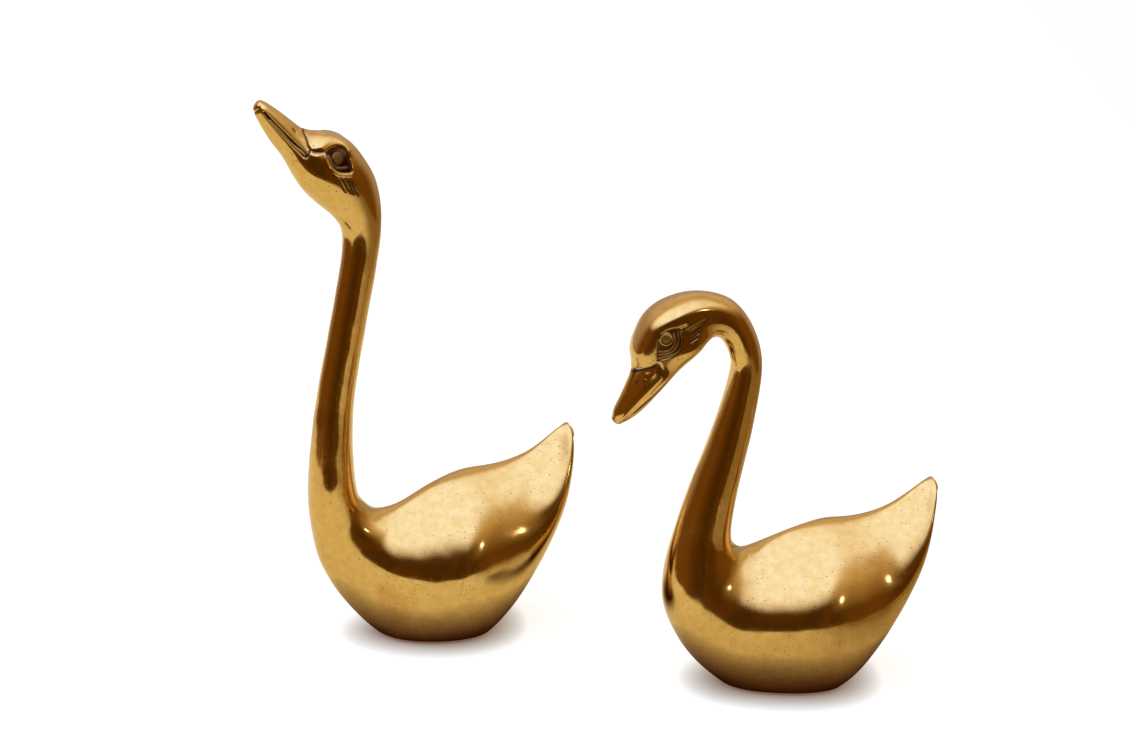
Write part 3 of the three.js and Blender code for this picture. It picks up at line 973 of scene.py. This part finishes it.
# from millimetres round the swan's own foot to metres where it stands
def standing(swan):
    spot = Vector((*swan["standsAt"], 0.0)) * mm
    turned = Matrix.Translation(spot) @ Matrix.Rotation(math.radians(swan["turn"]), 4, "Z")
    return turned @ Matrix.Scale(mm, 4)


# the part of a skin between two places, with its open ends closed by flat faces
def partSkin(skin, first, last):
    bm = bmesh.new()
    bm.from_mesh(skin)
    place = bm.verts.layers.float["place"]
    outside = [face for face in bm.faces
               if not all(first - slack <= vert[place] <= last + slack for vert in face.verts)]
    bmesh.ops.delete(bm, geom=outside, context="FACES")
    openEdges = [edge for edge in bm.edges if edge.is_boundary]
    if openEdges:
        for face in bmesh.ops.holes_fill(bm, edges=openEdges, sides=0)["faces"]:
            face.smooth = False
    return bm


# cuts a closed mesh at a plane, keeps what lies ahead of it and closes the cut
def cutAndClose(bm, point, ahead):
    everything = bm.verts[:] + bm.edges[:] + bm.faces[:]
    cut = bmesh.ops.bisect_plane(bm, geom=everything, dist=slack, plane_co=point,
                                 plane_no=ahead, clear_inner=True)["geom_cut"]
    edges = [part for part in cut if isinstance(part, bmesh.types.BMEdge)]
    made = bmesh.ops.triangle_fill(bm, edges=edges, normal=[-value for value in ahead],
                                   use_beauty=True)["geom"]
    for part in made:
        if isinstance(part, bmesh.types.BMFace):
            part.smooth = False


# puts a casting in its place, with the whole skin's flow in its shading so that seams don't show
def placeCasting(bm, swan, piece, material):
    bmesh.ops.remove_doubles(bm, verts=bm.verts, dist=weldGap)
    bmesh.ops.recalc_face_normals(bm, faces=bm.faces)
    for edge in bm.edges:
        edge.smooth = len({face.smooth for face in edge.link_faces}) == 1
    stand = standing(swan)
    bmesh.ops.transform(bm, matrix=stand, verts=bm.verts)
    name = swan["name"] + "_" + piece
    mesh = bpy.data.meshes.new(name + "_casting")
    bm.to_mesh(mesh)
    bm.free()
    flow = readValues(mesh.attributes["flow"].data, "vector", width=3)
    flow = flow @ np.array(stand.to_3x3()).T
    flow /= np.maximum(np.linalg.norm(flow, axis=1), 1e-9)[:, None]
    corner = readValues(mesh.loops, "vertex_index", int)
    counts = readValues(mesh.polygons, "loop_total", int)
    smooth = np.repeat(readValues(mesh.polygons, "use_smooth", bool), counts)
    faceNormals = np.repeat(readValues(mesh.polygons, "normal", width=3), counts, axis=0)
    shading = np.where(smooth[:, None], flow[corner], faceNormals)
    mesh.normals_split_custom_set(shading.tolist())
    mesh.attributes.remove(mesh.attributes["flow"])
    mesh.attributes.remove(mesh.attributes["place"])
    mesh.materials.append(material)
    casting = bpy.data.objects.new(name + "_casting", mesh)
    scene.collection.objects.link(casting)
    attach(casting, swan["body"])
    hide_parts(name)
    print(name, "casting:", len(mesh.polygons), "faces")
    return casting


# the skin of the hollow, facing into the casting
def makeHollow(swan, settings):
    rows = ribRows(swan)
    places = ringPlaces(rows, *hollowSpan(swan), settings["innerSpacing"])
    sections = throughRibs(rows, places)
    closing = sections[[0, -1]].copy()
    for end in closing:
        middle = (end[0:2] + end[2:4]) / 2
        end[0:2] = middle
        end[2:4] = middle
        end[4] = 0.0
    sections = np.vstack([closing[:1], sections, closing[1:]])
    places = np.concatenate([places[:1], places, places[-1:]])
    hollow = rollSkin(sections, places, settings["innerSides"], settings["wall"])
    hollow.flip_normals()
    hollow.update()
    flow = readValues(hollow.vertices, "normal", width=3)
    writeValues(hollow, "flow", flow)
    writeValues(hollow, "grime", np.full(len(flow), settings["innerDirt"]))
    return hollow


def makeCastings(swan, marks, settings, chasing):
    skin, (headEnd, neckEnd, tailTip) = makeSkin(swan, marks, settings, chasing)
    head = placeCasting(partSkin(skin, 0, headEnd), swan, "head", brass)
    neck = placeCasting(partSkin(skin, headEnd, neckEnd), swan, "neck", brass)
    for raised in (head, neck):
        raised.visible_glossy = False  # leaves the flanks clear of its mirror image
    hollow = makeHollow(swan, settings)
    foot = (0.0, 0.0, settings["footHeight"])
    for piece, across in (("left_shell", -1.0), ("right_shell", 1.0)):
        bm = partSkin(skin, neckEnd, tailTip)
        bm.from_mesh(hollow)
        cutAndClose(bm, (0.0, 0.0, 0.0), (0.0, across, 0.0))
        cutAndClose(bm, foot, (0.0, 0.0, 1.0))
        placeCasting(bm, swan, piece, brass)
    bpy.data.meshes.remove(skin)
    bpy.data.meshes.remove(hollow)


padSettings = {
    "inset": 1.5,
    "thickness": 1.5,
    "softEdge": 0.35,
    "softFrom": 35.0,  # degrees, sharper corners are softened
    "sides": 96,
    "spacing": 3.0,
    "weld": 0.01,
    "fray": 0.08,
    "frayMargin": 0.2,  # below the top and above the table
    "fraySeed": 3,
}


# a felt pad cut to the foot, with soft edges
def makePad(swan, settings):
    rows = ribRows(swan)
    places = ringPlaces(rows, *hollowSpan(swan), settings["spacing"])
    under = rollSkin(throughRibs(rows, places), places, settings["sides"], settings["inset"])
    bm = bmesh.new()
    bm.from_mesh(under)
    bmesh.ops.holes_fill(bm, edges=[edge for edge in bm.edges if edge.is_boundary], sides=0)
    top = settings["thickness"]
    cutAndClose(bm, (0.0, 0.0, 0.0), (0.0, 0.0, 1.0))
    cutAndClose(bm, (0.0, 0.0, top), (0.0, 0.0, -1.0))
    bmesh.ops.remove_doubles(bm, verts=bm.verts, dist=settings["weld"])
    bmesh.ops.recalc_face_normals(bm, faces=bm.faces)
    sharp = math.radians(settings["softFrom"])
    corners = [edge for edge in bm.edges if edge.calc_face_angle(0.0) > sharp]
    bmesh.ops.bevel(bm, geom=corners, offset=settings["softEdge"], offset_type="OFFSET",
                    affect="EDGES", segments=3, profile=0.5, material=-1)
    frays = np.random.default_rng(settings["fraySeed"])
    margin = settings["frayMargin"]
    for vert in bm.verts:
        if margin < vert.co.z < top - margin:
            vert.co += vert.normal * frays.uniform(-1, 1) * settings["fray"]
    for face in bm.faces:
        face.smooth = True
    bmesh.ops.transform(bm, matrix=standing(swan), verts=bm.verts)
    name = swan["name"] + "_felt_pad"
    mesh = bpy.data.meshes.new(name + "_wool")
    bm.to_mesh(mesh)
    bm.free()
    mesh.attributes.remove(mesh.attributes["place"])
    mesh.materials.append(felt)
    pad = bpy.data.objects.new(name + "_wool", mesh)
    scene.collection.objects.link(pad)
    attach(pad, swan["body"])
    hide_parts(name)
    bpy.data.meshes.remove(under)
    print(name, "pad:", len(mesh.polygons), "faces")


# the dowels and pins are the CAD nodes, inside the castings
def finishRods(swan):
    for hidden in ("head_dowel", "neck_dowel", "chest_pin", "back_pin", "tail_pin"):
        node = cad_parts[swan["name"] + "_" + hidden]
        node.data.materials.clear()
        node.data.materials.append(rod)
        node.visible_glossy = False


for swan, marks in ((tallSwan, tallMarks), (shortSwan, shortMarks)):
    makeCastings(swan, marks, castingSettings, chasingSettings)
    makePad(swan, padSettings)
    finishRods(swan)
print("both swans made")
